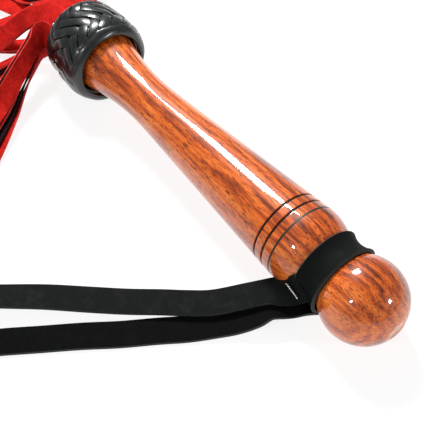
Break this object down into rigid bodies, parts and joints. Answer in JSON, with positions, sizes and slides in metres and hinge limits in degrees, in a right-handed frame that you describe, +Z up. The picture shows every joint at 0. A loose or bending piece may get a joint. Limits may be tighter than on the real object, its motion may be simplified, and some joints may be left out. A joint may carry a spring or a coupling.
{
  "type": "multi-tail suede whip with turned handle",
  "caption": "Turned lacquered wooden handle with a ball end, a plaited knot over red and black suede falls, and a stapled wrist strap.",
  "frame": {"origin": "on the handle's axis at the waist, the thinnest place of the grip", "axes": "+X along the handle towards the ball end, +Z up as the whip lies on a table with its wrist strap towards -Y"},
  "size_m": [0.5906, 0.5413, 0.0548],
  "materials": {
    "lacquered_wood": "turned hardwood, stained and high-gloss lacquered, three burnt grooves",
    "red_suede": "napped suede, dyed bright red",
    "black_suede": "napped suede, dyed black",
    "knot_leather": "glossy finished lace leather, plaited",
    "black_leather": "plain split leather band",
    "strap_leather": "matte grained strap leather with a fuzzy flesh side",
    "waxed_thread": "waxed linen thread",
    "steel": "bright drawn wire"
  },
  "bodies": {
    "handle": {"handle": "lacquered_wood", "tacks": "steel", "inner_red_header": "red_suede", "black_header": "black_suede", "outer_red_header": "red_suede", "thread_binding": "waxed_thread", "foundation_band": "black_leather", "plaited_knot": "knot_leather", "rolled_rim": "knot_leather", "inner_red_roots": "red_suede", "black_roots": "black_suede", "outer_red_roots": "red_suede"},
    "strap_loop": {"neck_loop": "strap_leather", "wire_staple": "steel"},
    "wrist_strap": {"wrist_strap": "strap_leather"},
    "falls_far": {"red_fall_outer_1": "red_suede", "black_fall_1": "black_suede", "red_fall_inner_1": "red_suede", "red_fall_inner_10": "red_suede", "black_fall_10": "black_suede", "red_fall_outer_10": "red_suede"},
    "falls_back_far": {"red_fall_outer_2": "red_suede", "black_fall_2": "black_suede", "red_fall_inner_2": "red_suede", "red_fall_inner_9": "red_suede", "black_fall_9": "black_suede", "red_fall_outer_9": "red_suede"},
    "falls_back": {"red_fall_outer_3": "red_suede", "black_fall_3": "black_suede", "red_fall_inner_3": "red_suede", "red_fall_inner_8": "red_suede", "black_fall_8": "black_suede", "red_fall_outer_8": "red_suede"},
    "falls_back_near": {"red_fall_outer_4": "red_suede", "black_fall_4": "black_suede", "red_fall_inner_4": "red_suede", "red_fall_inner_7": "red_suede", "black_fall_7": "black_suede", "red_fall_outer_7": "red_suede"},
    "falls_near": {"red_fall_outer_5": "red_suede", "black_fall_5": "black_suede", "red_fall_inner_5": "red_suede", "red_fall_inner_6": "red_suede", "black_fall_6": "black_suede", "red_fall_outer_6": "red_suede"}
  },
  "joints": [
    {"name": "neck_loop_turn", "type": "hinge", "parent": "handle", "child": "strap_loop", "pos_m": [0.1414, 0, 0], "axis": [-1, 0, 0], "continuous": true},
    {"name": "strap_lift", "type": "hinge", "parent": "strap_loop", "child": "wrist_strap", "pos_m": [0.132, -0.021, -0.004], "axis": [-0.7878, 0.6159, 0], "range_deg": [0, 60]},
    {"name": "falls_far_lift", "type": "hinge", "parent": "handle", "child": "falls_far", "pos_m": [-0.072, 0.01541, 0], "axis": [0.5, 0.866, 0], "range_deg": [0, 40]},
    {"name": "falls_back_far_lift", "type": "hinge", "parent": "handle", "child": "falls_back_far", "pos_m": [-0.072, 0.00952, 0], "axis": [-0.1305, 0.9914, 0], "range_deg": [0, 40]},
    {"name": "falls_back_lift", "type": "hinge", "parent": "handle", "child": "falls_back", "pos_m": [-0.072, 0, 0], "axis": [-0.7071, 0.7071, 0], "range_deg": [0, 40]},
    {"name": "falls_back_near_lift", "type": "hinge", "parent": "handle", "child": "falls_back_near", "pos_m": [-0.072, -0.00952, 0], "axis": [-0.9914, 0.1305, 0], "range_deg": [0, 40]},
    {"name": "falls_near_lift", "type": "hinge", "parent": "handle", "child": "falls_near", "pos_m": [-0.072, -0.01541, 0], "axis": [-0.866, -0.5, 0], "range_deg": [0, 40]}
  ]
}
